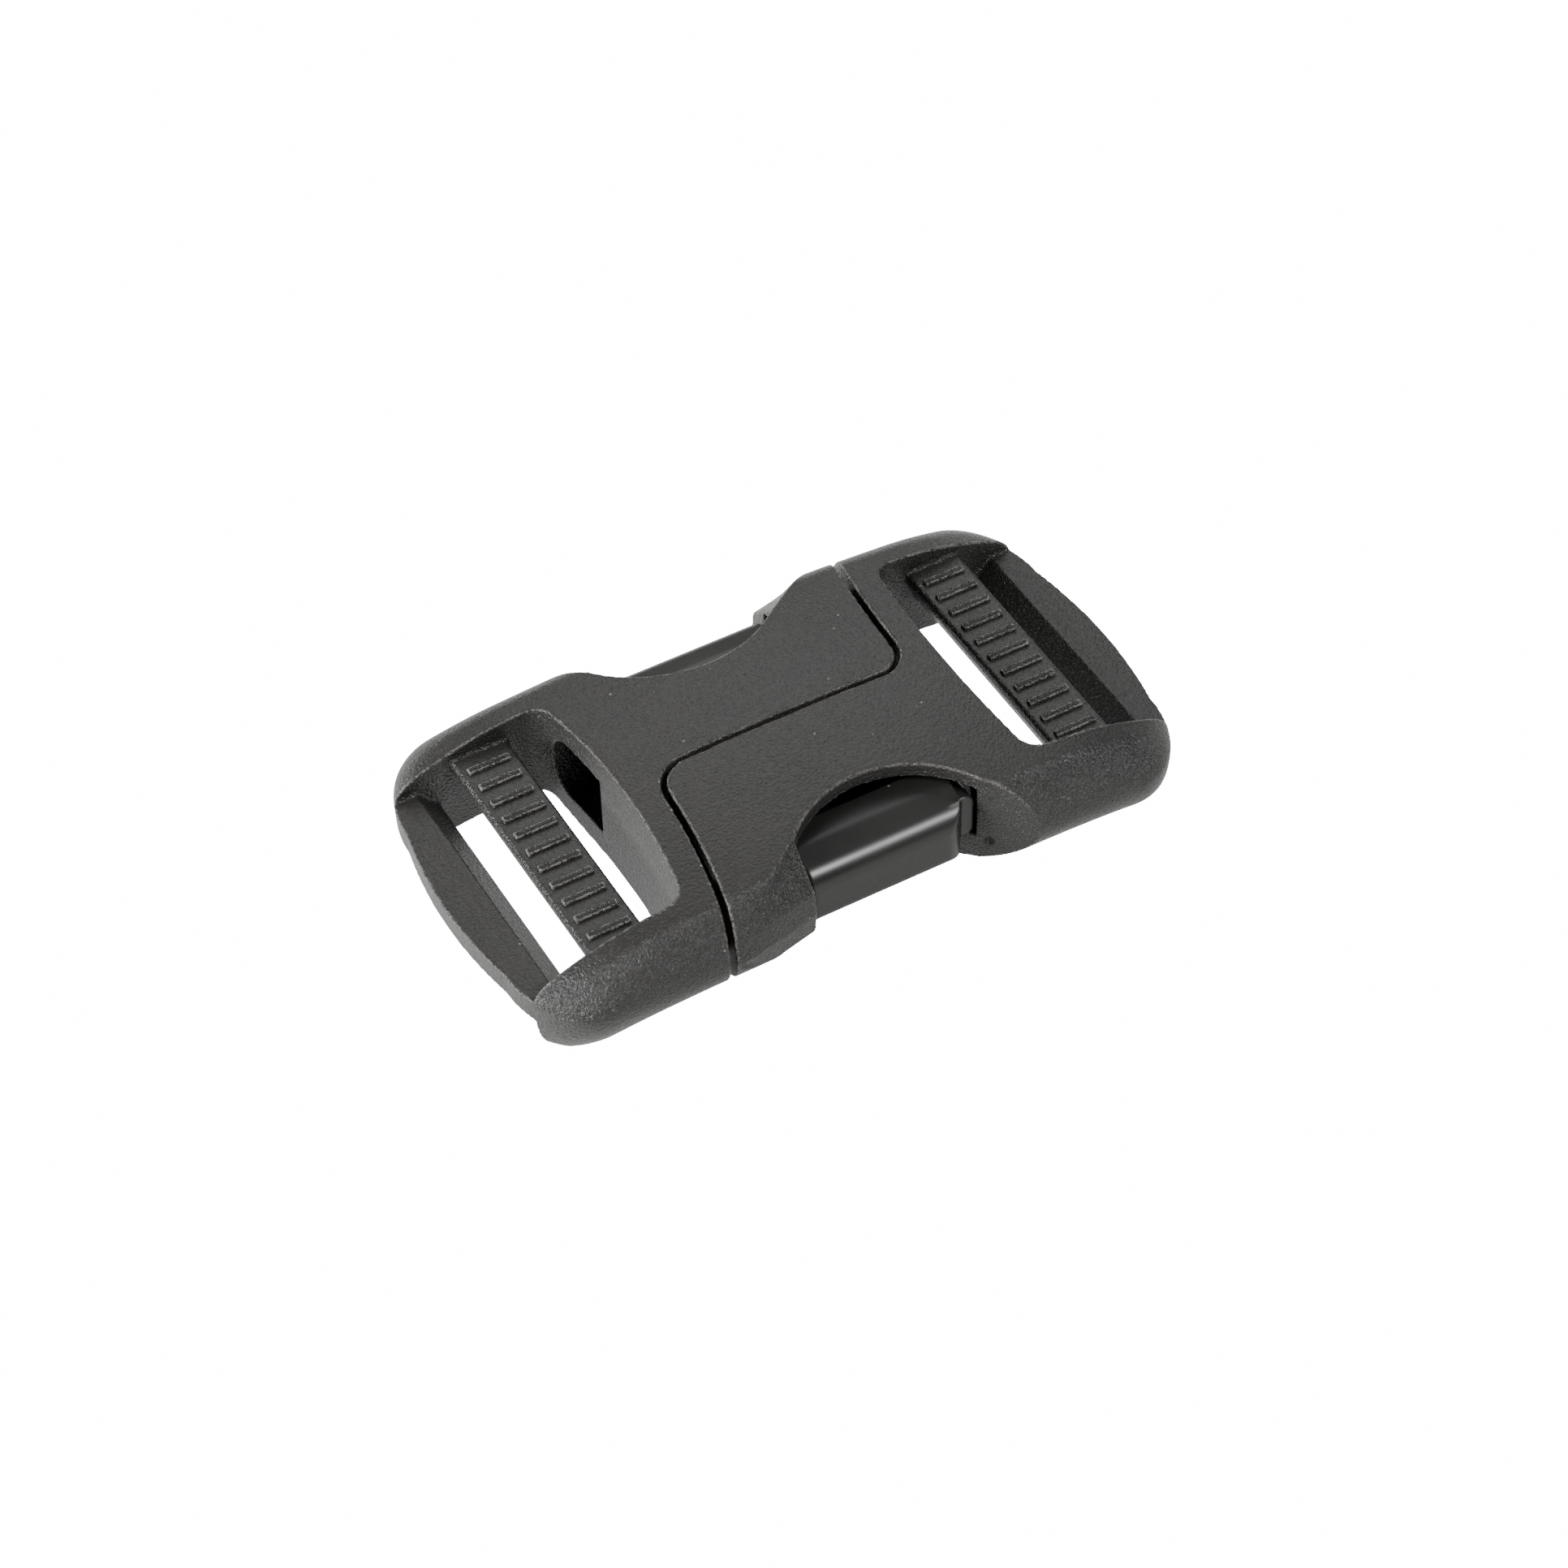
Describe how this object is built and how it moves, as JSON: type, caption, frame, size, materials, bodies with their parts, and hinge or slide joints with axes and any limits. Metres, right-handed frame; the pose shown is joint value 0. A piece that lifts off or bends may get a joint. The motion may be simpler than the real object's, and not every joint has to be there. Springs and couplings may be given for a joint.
{
  "type": "side release buckle",
  "caption": "Plastic side release buckle for strap webbing, made of two identical interlocking halves with ribbed webbing bars, side windows and squeeze-to-release latch arms.",
  "frame": {"origin": "centre of the closed buckle, on the parting plane", "axes": "+X along the strap toward half B, +Y across the strap toward half A's sleeve, +Z out of the face with the ribbed bars' ribs"},
  "size_m": [0.066, 0.036, 0.0126],
  "materials": {
    "moulded_body": "black acetal, fine spark-eroded grain",
    "moulded_arm": "black acetal, smoother than the body"
  },
  "bodies": {
    "half_a": {"half_a_body": "moulded_body"},
    "arm_a": {"half_a_release_arm": "moulded_arm"},
    "half_b": {"half_b_body": "moulded_body"},
    "arm_b": {"half_b_release_arm": "moulded_arm"}
  },
  "joints": [
    {"name": "unclip", "type": "slide", "parent": "half_a", "child": "half_b", "axis": [1, 0, 0], "range_m": [0, 0.03], "deforming": ["half_a_release_arm", "half_b_release_arm"]},
    {"name": "squeeze_arm_a", "type": "hinge", "parent": "half_a", "child": "arm_a", "pos_m": [-0.01382, -0.0125, 0], "axis": [0, 0, 1], "range_deg": [0, 12.5], "stiffness_Nm_per_rad": 2.4},
    {"name": "squeeze_arm_b", "type": "hinge", "parent": "half_b", "child": "arm_b", "pos_m": [0.01382, 0.0125, 0], "axis": [0, 0, 1], "range_deg": [0, 12.5], "stiffness_Nm_per_rad": 2.4}
  ]
}
